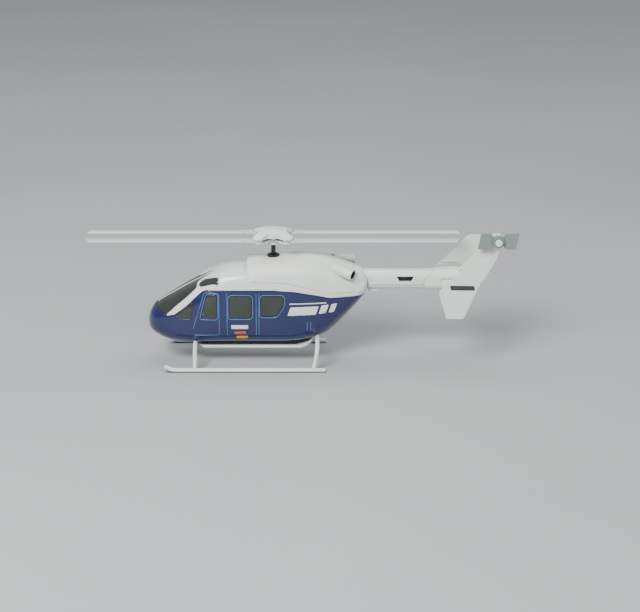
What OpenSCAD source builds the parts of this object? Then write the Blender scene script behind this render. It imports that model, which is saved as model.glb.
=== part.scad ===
// Toy helicopter on skids with a four-blade folding main rotor and a twin-fin tail.
// Nose towards -X, port side towards -Y, up is +Z, the skids rest on Z = 0.
// All lengths are in millimetres.

/* [Fuselage] */
// Distance of the main rotor axis from the middle of the whole model
mast_x = -16.4; // [-25:0.1:-10]
// Half of the cabin's greatest width
cabin_half_w = 16.5; // [14:0.1:19]
// Height of the cabin floor skin above the ground
belly_z = 12; // [9:0.5:15]
// Height of the cabin roof above the ground
roof_z = 57; // [50:0.5:62]
// Wall thickness of the cast fuselage
wall = 1.2; // [0.8:0.1:2]
// Height of the colour line between the lower shell and the roof
waist_z = 45.9; // [42:0.1:48]

/* [Windows] */
// How far the panes sit below the outer surface
pane_sink = 0.2; // [0.1:0.05:0.5]
// Thickness of the clear mouldings behind the wall
glass_t = 0.8; // [0.5:0.1:1.2]
// Lower edge of the cabin side windows
window_z = 29.6; // [26:0.1:33]
// Upper edge of the cabin side windows
window_top_z = 42.4; // [38:0.1:44]
// Half width of the post between the two windscreen halves
post_half_w = 0.7; // [0.4:0.1:1.5]

/* [Engine cowl] */
// Height of the highest point of the cowl
cowl_top_z = 62.3; // [58:0.1:66]
// Half width of the cowl at its foot
cowl_half_w = 15.4; // [12:0.1:17]
// Outer width of an exhaust outlet
exhaust_w = 6.8; // [5:0.1:10]
// Outer height of an exhaust outlet
exhaust_h = 6.6; // [3:0.1:7]

/* [Tail] */
// Height of the tail boom section
boom_h = 11.2; // [8:0.1:14]
// Width of the tail boom section
boom_w = 9; // [6:0.1:12]
// Underside of the tail boom above the ground
boom_z = 42.3; // [38:0.1:46]
// Thickness of the centre fin
fin_t = 3; // [2:0.1:5]
// Distance of each endplate's outer face from the centre plane
endplate_y = 22.6; // [18:0.1:26]
// Thickness of an endplate
endplate_t = 1.5; // [1:0.1:2.5]

/* [Landing gear] */
// Distance of each skid from the centre plane
skid_y = 24; // [20:0.1:28]
// Diameter of the skid tubes
skid_d = 2.6; // [2:0.1:4]
// Diameter of the cross tubes
cross_d = 2.4; // [2:0.1:4]
// Length of a skid
skid_len = 84; // [75:1:100]

/* [Main rotor] */
// Distance from the rotor axis to a parked blade's tip along the fuselage
rotor_r = 106; // [90:1:108]
// Distance of each blade hinge from the rotor axis, along and across
arm = 8; // [6:0.1:10]
// Chord of a main blade
blade_chord = 6.5; // [5:0.1:8]
// Diameter of the rotor mast
mast_d = 2.6; // [2:0.1:4]
// Radius of the domed hub cap
cap_r = 10.4; // [8:0.1:12]
// Top of the domed hub cap above the ground
cap_top_z = 77.5; // [74:0.1:80]

/* [Tail rotor] */
// Radius swept by the tail rotor
tail_r = 11.5; // [9:0.1:14]
// Chord of a tail rotor blade
tail_chord = 9.2; // [5:0.1:11]

/* [Part shown] */
// Sub-part that is drawn, or all of them

/* [Hidden] */
$fn = 48;
eps = 0.01;
run_fit = 0.05;                 // radial clearance of a turning pin or shaft
far = 200;                      // longer than anything that is cut

// stations along the cabin: x, bottom, widest height, top, half width, power above, power below
cabin = [
  [-71.5, 21.5, 23.2, 25.0, 1.5, 2.2, 2.2],
  [-71.0, 19.5, 23.4, 27.5, 4.0, 2.2, 2.2],
  [-69.5, 17.4, 23.8, 30.8, 7.4, 2.2, 2.2],
  [-67.0, 15.6, 24.5, 33.8, 10.2, 2.2, 2.2],
  [-63.0, 13.8, 25.5, 36.6, 12.5, 2.4, 2.4],
  [-58.0, 12.7, 26.2, 39.5, 14.2, 2.6, 2.8],
  [-50.0, belly_z + 0.1, 27.5, 44.2, 15.6, 3.0, 3.0],
  [-41.0, belly_z, 29.0, 49.0, cabin_half_w - 0.2, 3.5, 3.2],
  [-33.0, belly_z, 30.5, roof_z - 3.5, cabin_half_w, 4.0, 3.2],
  [-29.0, belly_z, 31.0, roof_z - 1.4, cabin_half_w, 4.0, 3.2],
  [-24.0, belly_z, 31.5, roof_z - 0.2, cabin_half_w, 4.0, 3.2],
  [-13.0, belly_z, 32.0, roof_z + 0.3, cabin_half_w, 4.0, 3.2],
  [5.0, belly_z, 32.0, roof_z, cabin_half_w, 4.0, 3.2],
  [14.0, belly_z + 0.4, 32.5, roof_z - 1, cabin_half_w - 0.3, 4.0, 3.1],
  [22.0, belly_z + 2.0, 33.5, roof_z - 2.5, cabin_half_w - 1, 3.8, 2.8],
  [30.0, belly_z + 4.6, 36.0, roof_z - 3.8, cabin_half_w - 2.1, 3.4, 2.4],
  [34.0, belly_z + 7.8, 38.0, roof_z - 4.3, cabin_half_w - 2.9, 3.2, 2.3],
  [40.0, belly_z + 13.8, 41.0, roof_z - 5, cabin_half_w - 4.2, 3.0, 2.2],
  [45.0, belly_z + 19.4, 43.4, roof_z - 5.4, cabin_half_w - 5.4, 2.8, 2.2],
  [50.0, belly_z + 25.4, 45.6, roof_z - 6, cabin_half_w - 6.7, 2.6, 2.2],
  [52.5, belly_z + 28.8, 46.2, roof_z - 7, cabin_half_w - 8.3, 2.4, 2.2]
];
// stations along the cowl: the same seven values
cowl = [
  [-15.2, 38, 46, cowl_top_z - 3.6, cowl_half_w - 1.4, 2.8, 2.8],
  [-14.4, 37, 46, cowl_top_z - 2.2, cowl_half_w - 0.6, 2.8, 2.8],
  [-12, 36, 46, cowl_top_z - 1.6, cowl_half_w, 2.9, 2.8],
  [0.0, 36, 46, cowl_top_z - 1.0, cowl_half_w, 3.0, 2.8],
  [12.0, 36, 46, cowl_top_z - 0.4, cowl_half_w, 3.0, 2.8],
  [21.0, 36, 46, cowl_top_z, cowl_half_w - 0.4, 2.9, 2.8],
  [28.0, 36, 45, cowl_top_z - 0.8, cowl_half_w - 1.2, 2.8, 2.8],
  [34.0, 36, 45, cowl_top_z - 2.2, cowl_half_w - 2.0, 2.6, 2.8],
  [40.0, 37, 45, cowl_top_z - 4.4, cowl_half_w - 3.0, 2.5, 2.8],
  [46.0, 38, 45, cowl_top_z - 6.6, cowl_half_w - 4.6, 2.4, 2.8],
  [50.5, 40, 45, cowl_top_z - 8.6, cowl_half_w - 6.6, 2.3, 2.8],
  [52.3, 42, 46, cowl_top_z - 11, cowl_half_w - 8.6, 2.2, 2.6]
];
ring = 28;                      // points round one station
shrink_x0 = -5;                 // the inner skins are drawn in lengthwise towards here
shrink_half = 66;               // distance from there to the nose

function sgn_pow(v, p) = sign(v) * pow(abs(v), p);
function station(s, t, k) =
  let (
    a = 360 * (k + 0.5) / ring,
    up = sin(a) >= 0,
    n = up ? s[5] : s[6],
    h = up ? s[3] - s[2] : s[2] - s[1],
    w = max(s[4] - t, 0.3),
    hh = max(h - t, 0.3)
  )
  [
    shrink_x0 + (s[0] - shrink_x0) * (1 - t / shrink_half),
    w * sgn_pow(cos(a), 2 / n),
    s[2] + hh * sgn_pow(sin(a), 2 / n)
  ];

// one stretch of a skin, between two neighbouring stations
module stretch(s0, s1, t) {
  pts = concat(
    [for (k = [0 : ring - 1]) station(s0, t, k)],
    [for (k = [0 : ring - 1]) station(s1, t, k)]
  );
  sides = [
    for (k = [0 : ring - 1])
      [k, (k + 1) % ring, ring + (k + 1) % ring, ring + k]
  ];
  ends = [
    [for (k = [0 : ring - 1]) ring - 1 - k],
    [for (k = [0 : ring - 1]) ring + k]
  ];
  hull() polyhedron(points = pts, faces = concat(sides, ends));
}

// closed solid through stations i0 to i1 of a table, drawn in by t
module skin(table, t, i0, i1) {
  for (i = [i0 : i1 - 1]) stretch(table[i], table[i + 1], t);
}

module cabin_skin(t, i0 = 0, i1 = len(cabin) - 1) {
  skin(cabin, t, i0, i1);
}

module at_mast() {
  translate([mast_x, 0, 0]) children();
}

// an outline in X and Z, carried across the whole width or over a band of Y
module across(points, y0 = -far, y1 = far) {
  translate([0, y1, 0])
    rotate([90, 0, 0])
      linear_extrude(y1 - y0) polygon(points);
}

module both_sides() {
  children();
  mirror([0, 1, 0]) children();
}

// a rounded rectangle centred on the origin
module pill(w, h, r) {
  square([w - 2 * r, h], center = true);
  square([w, h - 2 * r], center = true);
  for (sx = [-1, 1])
    for (sy = [-1, 1])
      translate([sx * (w / 2 - r), sy * (h / 2 - r)]) circle(r);
}

// side view of everything above the colour line, with the pointed windscreen pillars
roof_side = [
  [-60.6, 29.8], [-57.2, 33.6], [-51.0, 39.8], [-44.8, 44.9], [-44.8, 80],
  [60, 80], [60, 40.8], [32, 40.8], [24.5, 42.6], [12, 45], [0, waist_z],
  [-37, waist_z], [-39.6, waist_z - 0.7], [-42, 43.3], [-45, 40.4], [-49.4, 36.0], [-56, 31.0]
];
// side view of the post between the windscreen halves
post_side = [[-68, 34], [-68, 80], [-44, 80], [-44, 40]];
// side view of everything above the foot of the cowl
cowl_side = [
  [-20, 50.6], [-20, 80], [60, 80], [60, 44.6], [49, 44.6], [45, 43.3],
  [31, 43.3], [24.5, 45.4],
  [18, 47.2], [12, 49.1], [5.5, 50], [-13, 50.6]
];
// plan of one windscreen half, port side
screen_plan = [
  [-67.2, -post_half_w], [-66.3, -5], [-64.2, -8.6], [-61, -11.4], [-57.6, -12.9],
  [-51.1, -12.1], [-46.4, -11.2], [-44.6, -10.2], [-44.8, -6.4], [-39.4, -3.2],
  [-32.8, -post_half_w]
];
// side views of the cabin windows
door_window = [[-40.8, window_z], [-37.6, window_top_z + 0.6], [-31.9, window_top_z + 0.6],
  [-31.9, window_z - 0.3]];
middle_window = [[-24.8, window_z], [-24.8, window_top_z], [-12.4, window_top_z],
  [-12.4, window_z]];
rear_window = [[-6.9, 30.6], [-6.9, window_top_z], [5.7, window_top_z], [5.7, 36.8],
  [1.6, 30.6]];
nose_window = [[-55.4, 30.2], [-45.2, 39.2], [-46.4, 28.6], [-53.8, 29.0]];
eyebrow = [[-41.6, 48.0], [-39.6, 49.5], [-30, 51.6], [-30, 48.4], [-38.6, 47.4]];

side_windows = [door_window, middle_window, rear_window, nose_window];
side_backings = [
  [[-44.6, 26.6], [-44.6, 44.0], [8.6, 44.0], [8.6, 27.6]],
  [[-58.6, 27.6], [-58.6, 29.8], [-44.6, 39.6], [-44.6, 26.6]]
];
side_in = 9;                    // the side outlines act only outside this distance
eyebrow_in = 5;

module port_window_cuts() {
  for (w = side_windows) across(w, -far, -side_in);
}

module port_screen_cut() {
  translate([0, 0, 26]) linear_extrude(40) polygon(screen_plan);
}

module port_eyebrow_cut() {
  across(eyebrow, -far, -eyebrow_in);
}

base_x0 = -42;
base_x1 = 22;
base_top = 11;
base_bottom = 9.6;
lip_x0 = 15.5;                  // the upturned rear end starts here
lip_top = 14.1;
skirt_gap = 2;                  // between the plan's edge and the skirt under the floor
base_half_w = 10.5;
base_lip = 1.6;                 // how far the plate overlaps the shell round its opening
screw_x = [-27, 8];
screw_d = 2;
screw_head_d = 4;
bush_d = 5;
line_w = 0.35;
line_floor = 16.15;             // the panel lines end at this distance from the centre plane

function base_plan(m) = [
  [base_x0 + m, -base_half_w + 2 + m], [base_x0 + 2 + m, -base_half_w + m],
  [base_x1 - 6, -base_half_w + m], [base_x1 - m, -7.5 + m], [base_x1 - m, 7.5 - m],
  [base_x1 - 6, base_half_w - m], [base_x0 + 2 + m, base_half_w - m], [base_x0 + m, base_half_w - 2 - m]
];

// side view of the base plate, which turns up towards the rear cross tube
base_side = [
  [base_x0, 10.6], [base_x0 + 2.5, base_bottom], [15, base_bottom], [18.5, base_bottom + 0.5],
  [21, 11.8], [22.6, 13.4], [21.6, lip_top], [20.2, 12.9], [17.6, 11.9], [14.6, base_top],
  [base_x0, base_top]
];

module base_slab(z0, z1, m = 0) {
  translate([0, 0, z0]) linear_extrude(z1 - z0) polygon(base_plan(m));
}

// the four walls of a panel line round an opening outline, x0 x1 z0 z1
module panel_line(x0, x1, z0, z1) {
  y0 = -cabin_half_w - 1;
  dy = cabin_half_w + 1 - line_floor;
  translate([x0, y0, z0]) cube([line_w, dy, z1 - z0]);
  translate([x1, y0, z0]) cube([line_w, dy, z1 - z0]);
}

// everything that belongs to the roof casting, its pillars and its centre post
module roof_zone(post = post_half_w) {
  across(roof_side);
  across(post_side, -post, post);
}

// the hole that the tail boom passes through at the back of the cabin
module boom_hole() {
  translate([boom_x0 + 8, 0, boom_z + boom_h / 2]) rotate([90, 0, 90])
    linear_extrude(20, center = true) pill(boom_w + 2 * run_fit, boom_h + 2 * run_fit, 3.5);
}

module hull_wall() {
  difference() {
    cabin_skin(0);
    cabin_skin(wall);
  }
}

module cabin_shell() {
  color([0.10, 0.17, 0.42])
    at_mast()
      difference() {
        hull_wall();
        roof_zone(post_half_w + 0.5);
        both_sides() port_window_cuts();
        both_sides() port_screen_cut();
        both_sides() panel_line(-30.6, -26.1, 19, 44.4);
        both_sides() panel_line(-9.6, -8.1, 19, 44.4);
        base_slab(base_bottom - 1, floor_z - 1.5, base_lip);
        intersection() {
          base_slab(base_bottom - 1, lip_top + 0.3, -0.3);
          translate([lip_x0, -20, 0]) cube([20, 40, 30]);
        }
        boom_hole();
        gear_slots();
      }
}

module cabin_roof() {
  color([0.88, 0.90, 0.88])
    at_mast()
      difference() {
        intersection() {
          hull_wall();
          roof_zone(post_half_w + 0.5);
        }
        both_sides() port_screen_cut();
        both_sides() port_eyebrow_cut();
        cylinder(h = far, d = bush_d + 2 * run_fit);
        both_sides() exhaust_hole();
        boom_hole();
      }
}

module base_plate() {
  color([0.90, 0.91, 0.89])
    at_mast()
      difference() {
        intersection() {
          across(base_side);
          base_slab(base_bottom - 1, lip_top + 1);
        }
        for (x = screw_x) {
          translate([x, 0, base_bottom - 1]) cylinder(h = 2.2, d = screw_head_d);
          translate([x, 0, base_bottom - 1]) cylinder(h = 20, d = screw_d + 0.2);
        }
        gear_slots();
      }
}

module base_screws() {
  color([0.60, 0.62, 0.64])
    at_mast()
      for (x = screw_x)
        translate([x, 0, 0])
          difference() {
            union() {
              translate([0, 0, base_bottom + 0.1]) cylinder(h = 1.1, d = screw_head_d);
              translate([0, 0, base_bottom + 0.1]) cylinder(h = 6.4, d = screw_d);
            }
            for (a = [0, 90])
              rotate([0, 0, a])
                translate([0, 0, base_bottom]) cube([2.4, 0.6, 1.2], center = true);
          }
}

// clear moulding: panes that fill their cuts, on a thin backing behind the wall
module glazing(i0, i1) {
  difference() {
    union() {
      intersection() {
        cabin_skin(pane_sink, i0, i1);
        children(0);
      }
      intersection() {
        cabin_skin(wall, i0, i1);
        children(1);
      }
    }
    cabin_skin(wall + glass_t);
  }
}

module windscreen() {
  color([0.20, 0.24, 0.24])
    at_mast()
      glazing(1, 10) {
        both_sides() port_screen_cut();
        translate([0, 0, 26])
          linear_extrude(40)
            polygon([[-68, -3], [-64, -8.4], [-58.6, -10.6], [-51, -9.9], [-44.2, -8.4],
              [-43.8, -5.4], [-32, -2], [-32, 2], [-43.8, 5.4], [-44.2, 8.4], [-51, 9.9],
              [-58.6, 10.6], [-64, 8.4], [-68, 3]]);
      }
}

module port_glazing() {
  difference() {
    glazing(4, 13) {
      port_window_cuts();
      for (b = side_backings) across(b, -far, -side_in - 2);
    }
    port_screen_cut();
  }
}

module side_glazing_port() {
  color([0.20, 0.24, 0.24]) at_mast() port_glazing();
}

module side_glazing_starboard() {
  color([0.20, 0.24, 0.24]) at_mast() mirror([0, 1, 0]) port_glazing();
}

module eyebrow_windows() {
  color([0.20, 0.24, 0.24])
    at_mast()
      both_sides()
        glazing(6, 10) {
          port_eyebrow_cut();
          across([[-40.6, 46.8], [-40.6, 49.6], [-27.6, 52.8], [-27.6, 46.8]], -far, -8);
        }
}

exhaust_x = 39.6;
exhaust_y = 10.3;
exhaust_z = 55.5;
exhaust_yaw = 28;               // the outlets turn out and back
exhaust_dip = 12;               // and a little down

module exhaust_path() {
  translate([exhaust_x, -exhaust_y, exhaust_z])
    rotate([0, exhaust_dip, -exhaust_yaw])
      rotate([90, 0, 90]) children();
}

module exhaust_hole() {
  exhaust_path()
    translate([0, 0, -7.5])
      linear_extrude(30)
        pill(exhaust_w + 2 * run_fit, exhaust_h + 2 * run_fit, exhaust_h / 2 - eps);
}

module engine_cowl() {
  color([0.88, 0.90, 0.88])
    at_mast()
      difference() {
        intersection() {
          difference() {
            skin(cowl, 0, 0, len(cowl) - 1);
            skin(cowl, wall, 0, len(cowl) - 1);
          }
          across(cowl_side);
        }
        cabin_skin(0);
        cylinder(h = far, d = bush_d + 2 * run_fit);
        both_sides() exhaust_hole();
        both_sides() translate([14, -cowl_half_w, 54.5]) rotate([0, 90, 0])
          cylinder(h = 5, d = 3, center = true);
        boom_hole();
      }
}

module exhaust() {
  exhaust_path()
    difference() {
      translate([0, 0, -7])
        linear_extrude(13.2) pill(exhaust_w, exhaust_h, exhaust_h / 2 - eps);
      translate([0, 0, 2.6])
        linear_extrude(10) pill(exhaust_w - 1.6, exhaust_h - 1.6, exhaust_h / 2 - 0.8 - eps);
    }
}

module exhaust_port() {
  color([0.88, 0.90, 0.88]) at_mast() exhaust();
}

module exhaust_starboard() {
  color([0.88, 0.90, 0.88]) at_mast() mirror([0, 1, 0]) exhaust();
}

floor_z = 17.4;
floor_t = 1.2;
floor_half_w = 11.5;
skirt_lift = 0.6;               // between the base plate and the floor's skirt

module cabin_floor() {
  color([0.16, 0.17, 0.18])
    at_mast()
      difference() {
        union() {
          translate([-50, -floor_half_w, floor_z]) cube([64, floor_half_w * 2, floor_t]);
          translate([12.8, -floor_half_w, floor_z]) cube([floor_t, floor_half_w * 2, 30]);
          for (x = screw_x)
            translate([x, 0, base_top]) cylinder(h = floor_z - base_top + eps, d = 4.6);
          intersection() {
            difference() {
              base_slab(base_top + skirt_lift, floor_z + eps, skirt_gap);
              base_slab(base_top, floor_z - eps, skirt_gap + floor_t);
            }
            translate([base_x0, -20, 0]) cube([lip_x0 - 2 - base_x0, 40, 30]);
          }
        }
        for (x = screw_x)
          translate([x, 0, base_top - 1]) cylinder(h = 10, d = screw_d);
      }
}

seat_side = [[-5.5, 0], [-5.5, 4.4], [-4.6, 5.2], [2.0, 4.6], [4.4, 20.5], [5.4, 22.4],
  [7.6, 22.4], [6.0, 4], [5.6, 0]];
seat_w = 9;
seat_y = 6.3;
seat_x = -33;

module seat() {
  translate([seat_x, 0, floor_z + floor_t])
    difference() {
      across(seat_side, -seat_w / 2, seat_w / 2);
      translate([-3, -seat_w / 2 + 1.2, -eps]) cube([7, seat_w - 2.4, 2.2]);
    }
}

module seat_port() {
  color([0.30, 0.31, 0.32]) at_mast() translate([0, -seat_y, 0]) seat();
}

module seat_starboard() {
  color([0.30, 0.31, 0.32]) at_mast() translate([0, seat_y, 0]) seat();
}

module rear_bench() {
  color([0.30, 0.31, 0.32])
    at_mast()
      translate([2.4, 0, floor_z + floor_t])
        difference() {
          across(seat_side, -11.5, 11.5);
          for (y = [-4, 4])
            translate([-6, y, 4.5]) cube([8, 0.6, 2]);
        }
}

module instrument_panel() {
  color([0.12, 0.13, 0.14])
    at_mast()
      translate([-49.5, 0, floor_z])
        difference() {
          union() {
            across([[0, 0], [0, 9], [-4.5, 13.2], [-1.6, 14.4], [2.6, 12.6], [2.6, 8.6],
              [1.2, 8], [1.2, 0]], -8.4, 8.4);
            across([[0, 0], [0, 9], [8, 4.4], [8, 0]], -1.6, 1.6);
          }
          translate([0, 0, -1]) cube([20, 30, 2 * floor_t + 2.2], center = true);
        }
}

boom_x0 = 44;
boom_x1 = 106;

module boom_section() {
  rotate([90, 0, 90]) linear_extrude(boom_x1 - boom_x0) children();
}

module tail_boom() {
  color([0.86, 0.88, 0.86])
    at_mast()
      difference() {
        union() {
          translate([boom_x0, 0, boom_z + boom_h / 2]) boom_section() pill(boom_w, boom_h, 3.5);
          translate([54, -2.5, boom_z - 1.2]) cube([5, 5, 3]);
        }
        both_sides() across([[69.9, 50.4], [79.7, 50.4], [78.2, 47.7], [71.4, 47.7]],
          -boom_w / 2 - 1, -boom_w / 2 + 2.8);
        for (z = [45.2, 51.8])
          both_sides() translate([56, -boom_w / 2 - 1, z]) cube([34, 1.25, 0.4]);
        translate([stab_x0, -far / 2, stab_z]) cube([stab_chord, far, stab_t]);
        across(fin_side, -fin_t / 2, fin_t / 2);
      }
}

fin_x = 127;
fin_z = 71.4;
fin_side = [[101, 46], [105, 53.6], [117.9, 65.6], [123.6, 73.4], [124.6, 74.2], [128.6, 74.2],
  [129.4, 71], [127.2, 61.2], [119.8, 46.8], [112, 41.6], [103, 41.6]];
sleeve_side = [[85.2, 47.4], [92, 54.6], [105.6, 54.6], [105.6, 41], [86.6, 41]];
sleeve_t = 0.5;                 // how far the fin's sleeve stands out from the boom

// a thin sleeve on the end of the boom, with a slanted front edge
module sleeve() {
  intersection() {
    across(sleeve_side);
    translate([boom_x0, 0, boom_z + boom_h / 2])
      difference() {
        boom_section() pill(boom_w + 2 * sleeve_t, boom_h + 2 * sleeve_t, 3.5 + sleeve_t);
        translate([-1, 0, 0]) scale([1.1, 1, 1])
          boom_section() pill(boom_w + 2 * run_fit, boom_h + 2 * run_fit, 3.5);
      }
  }
}

module centre_fin() {
  color([0.88, 0.90, 0.88])
    at_mast()
      difference() {
        union() {
          across(fin_side, -fin_t / 2, fin_t / 2);
          sleeve();
          translate([fin_x, 0, fin_z]) rotate([90, 0, 0]) cylinder(h = -tail_y - 0.3, d = 4.2);
          translate([fin_x, fin_t / 2 + 1, fin_z]) rotate([90, 0, 0]) cylinder(h = 2, d = 4.2);
        }
        translate([fin_x, far / 2, fin_z]) rotate([90, 0, 0]) cylinder(h = far, d = pin_d);
        translate([stab_x0, -far / 2, stab_z]) cube([stab_chord, far, stab_t]);
      }
}

stab_x0 = 95.5;
stab_chord = 11;
stab_z = 47.4;
stab_t = 1.6;

module stabiliser() {
  color([0.86, 0.88, 0.86])
    at_mast()
      difference() {
        translate([stab_x0, 0, 0])
          rotate([90, 0, 0])
            linear_extrude(2 * (endplate_y - endplate_t), center = true)
              polygon([[0, stab_z + 0.5], [1.2, stab_z], [stab_chord - 0.4, stab_z],
                [stab_chord, stab_z + stab_t / 2], [stab_chord - 0.4, stab_z + stab_t],
                [1.2, stab_z + stab_t], [0, stab_z + stab_t - 0.5]]);
        both_sides() translate([stab_x0 + 7.4, -endplate_y, stab_z - 1])
          cube([0.4, endplate_y - boom_w, 1.3]);
      }
}

plate_side = [[97.4, 31.4], [93.1, 46.2], [93.6, 47.6], [111.6, 66.4], [112.8, 67.0],
  [120.9, 66.8], [121.6, 65.8], [107.4, 32.2], [106.4, 31.4]];

module endplate() {
  y0 = -endplate_y;
  across(plate_side, y0, y0 + endplate_t);
  translate([stab_x0 - 0.8, y0 + endplate_t - eps, stab_z - 0.9])
    difference() {
      cube([stab_chord + 1.6, 1.6, stab_t + 1.8]);
      translate([0.8, -1, 0.9]) cube([stab_chord, 4, stab_t]);
    }
}

module endplate_port() {
  color([0.90, 0.91, 0.89]) at_mast() endplate();
}

module endplate_starboard() {
  color([0.90, 0.91, 0.89]) at_mast() mirror([0, 1, 0]) endplate();
}

gear_front_x = -44.4;
gear_rear_x = 25;
gear_front_z = 13.8;            // height of the straight middle of each cross tube
gear_rear_z = 16.6;
gear_bend_r = 8;
gear_drop = 72;                 // how far each leg bends down, in degrees
leg_step = 9;
leg_cuts = 4;                   // parts of the straight lower leg
rear_sweep = 2.4;               // how far the rear feet are swept forward
tube_sides = 16;

// a round tube through points, each [x, z, tilt of its section, diameter, y]
module tube(path) {
  n = len(path);
  pts = [
    for (p = path)
      for (k = [0 : tube_sides - 1])
        let (a = 360 * k / tube_sides, u = p[3] / 2 * cos(a), v = p[3] / 2 * sin(a))
        [p[0] - u * sin(p[2]), v + p[4], p[1] + u * cos(p[2])]
  ];
  sides = [
    for (i = [0 : n - 2])
      for (k = [0 : tube_sides - 1])
        let (
          a = i * tube_sides + k,
          b = i * tube_sides + (k + 1) % tube_sides,
          c = a + tube_sides,
          d = b + tube_sides
        )
        each [[a, b, c], [b, d, c]]
  ];
  start = [[for (k = [0 : tube_sides - 1]) tube_sides - 1 - k]];
  end = [[for (k = [0 : tube_sides - 1]) (n - 1) * tube_sides + k]];
  polyhedron(points = pts, faces = concat(sides, start, end));
}

// how far forward a leg is at a height, when its foot is swept forward by sweep
function swept(z, mid_z, sweep) = sweep * pow((mid_z - z) / (mid_z - skid_d / 2), 2);

// one half of a cross tube, from its foot, as points across the fuselage
function half_gear(z, sweep) =
  let (
    centre_z = z - gear_bend_r,
    leg_top_z = centre_z + gear_bend_r * cos(gear_drop),
    leg_run = (leg_top_z - skid_d / 2) / tan(gear_drop),
    bend_y = skid_y - gear_bend_r * sin(gear_drop) - leg_run
  )
  concat(
    [
      for (k = [0 : leg_cuts - 1])
        let (f = k / leg_cuts, h = skid_d / 2 + (leg_top_z - skid_d / 2) * f)
        [skid_y - leg_run * f, h, -gear_drop, cross_d, swept(h, z, sweep)]
    ],
    [
      for (a = [gear_drop : -leg_step : leg_step])
        let (h = centre_z + gear_bend_r * cos(a))
        [bend_y + gear_bend_r * sin(a), h, -a, cross_d, swept(h, z, sweep)]
    ],
    [[bend_y, z, 0, cross_d, 0]]
  );
function gear_path(z, sweep) =
  let (half = half_gear(z, sweep), n = len(half))
  concat(
    [for (i = [0 : n - 1]) [-half[i][0], half[i][1], -half[i][2], cross_d, half[i][4]]],
    [for (i = [n - 1 : -1 : 0]) half[i]]
  );

// the room that the middle of a cross tube takes in the lower skin
module gear_slot(x, z) {
  translate([x, 0, z]) rotate([90, 0, 0])
    cylinder(h = 2 * cabin_half_w, d = cross_d + 2 * run_fit, center = true);
  translate([x - cross_d / 2 - run_fit, -cabin_half_w, z - far])
    cube([cross_d + 2 * run_fit, 2 * cabin_half_w, far]);
}

module gear_slots() {
  gear_slot(gear_front_x, gear_front_z);
  gear_slot(gear_rear_x, gear_rear_z);
}

module cross_tube(x, z, sweep) {
  translate([x, 0, 0])
    difference() {
      rotate([0, 0, 90]) tube(gear_path(z, sweep));
      both_sides() translate([0, -skid_y, skid_d / 2 - skid_flat]) rotate([0, 90, 0])
        cylinder(h = 20, d = skid_d, center = true);
    }
}

module cross_tube_front() {
  color([0.90, 0.91, 0.89]) at_mast() cross_tube(gear_front_x, gear_front_z, 0);
}

module cross_tube_rear() {
  color([0.90, 0.91, 0.89]) at_mast() cross_tube(gear_rear_x, gear_rear_z, rear_sweep);
}

skid_x0 = -55;
skid_flat = 0.3;                // depth of the flat that each skid stands on
toe_r = 9;
toe_turn = 40;
toe_step = 8;
skid_path = concat(
  [[skid_x0 - toe_r * sin(toe_turn) - 0.9 * cos(toe_turn),
    toe_r * (1 - cos(toe_turn)) + 0.9 * sin(toe_turn), -toe_turn, skid_d * 0.5, 0]],
  [
    for (a = [toe_turn : -toe_step : 0])
      [skid_x0 - toe_r * sin(a), toe_r * (1 - cos(a)), -a, skid_d, 0]
  ],
  [
    [skid_x0 + skid_len, 0, 0, skid_d, 0],
    [skid_x0 + skid_len + 0.9, 0, 0, skid_d * 0.5, 0]
  ]
);

module skid() {
  difference() {
    translate([0, -skid_y, skid_d / 2 - skid_flat]) tube(skid_path);
    translate([-far, -far, -2 * far]) cube(2 * far);
  }
}

module skid_port() {
  color([0.90, 0.91, 0.89]) at_mast() skid();
}

module skid_starboard() {
  color([0.90, 0.91, 0.89]) at_mast() mirror([0, 1, 0]) skid();
}

hub_z = 71;
hub_t = 1.1;
boss_d = 7.4;                   // the round boss under the arms
boss_h = 2.1;
blade_root_t = 1.4;
gap = 0.15;
blade_z = hub_z + hub_t + gap;
cap_z = blade_z + blade_root_t + gap;
blade_pin_d = 1.8;
collar_z = 52.6;

module mast_bush() {
  color([0.20, 0.21, 0.22])
    at_mast()
      difference() {
        union() {
          translate([0, 0, 54.6]) cylinder(h = 7, d = bush_d);
          translate([0, 0, cowl_top_z - 0.8]) cylinder(h = 1, d = 7);
        }
        cylinder(h = far, d = mast_d + 2 * run_fit);
      }
}

module mast() {
  color([0.18, 0.19, 0.20])
    at_mast() {
      translate([0, 0, collar_z]) cylinder(h = cap_z - 0.3 - collar_z, d = mast_d);
      translate([0, 0, collar_z]) cylinder(h = 1.7, d = 4.6);
    }
}

module hub_plate() {
  color([0.88, 0.90, 0.88])
    at_mast()
      difference() {
        union() {
          translate([0, 0, hub_z - boss_h]) cylinder(h = boss_h + hub_t, d = boss_d);
          translate([0, 0, hub_z]) cylinder(h = cap_z - hub_z, d = boss_d);
          for (a = [45 : 90 : 315])
            rotate([0, 0, a]) {
              translate([0, -2, hub_z]) cube([arm * sqrt(2), 4, hub_t]);
              translate([arm * sqrt(2), 0, hub_z]) cylinder(h = hub_t, d = 4.4);
            }
        }
        cylinder(h = far, d = mast_d);
        pin_places() cylinder(h = far, d = blade_pin_d);
      }
}

module pin_places() {
  for (sx = [-1, 1])
    for (sy = [-1, 1])
      translate([sx * arm, sy * arm, 0]) children();
}

cap_rim_t = 0.9;
cap_edge = cap_r + 3.2;
dome_h = cap_top_z - cap_z - cap_rim_t;
dome_r = (cap_edge * cap_edge + dome_h * dome_h) / (2 * dome_h);

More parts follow.
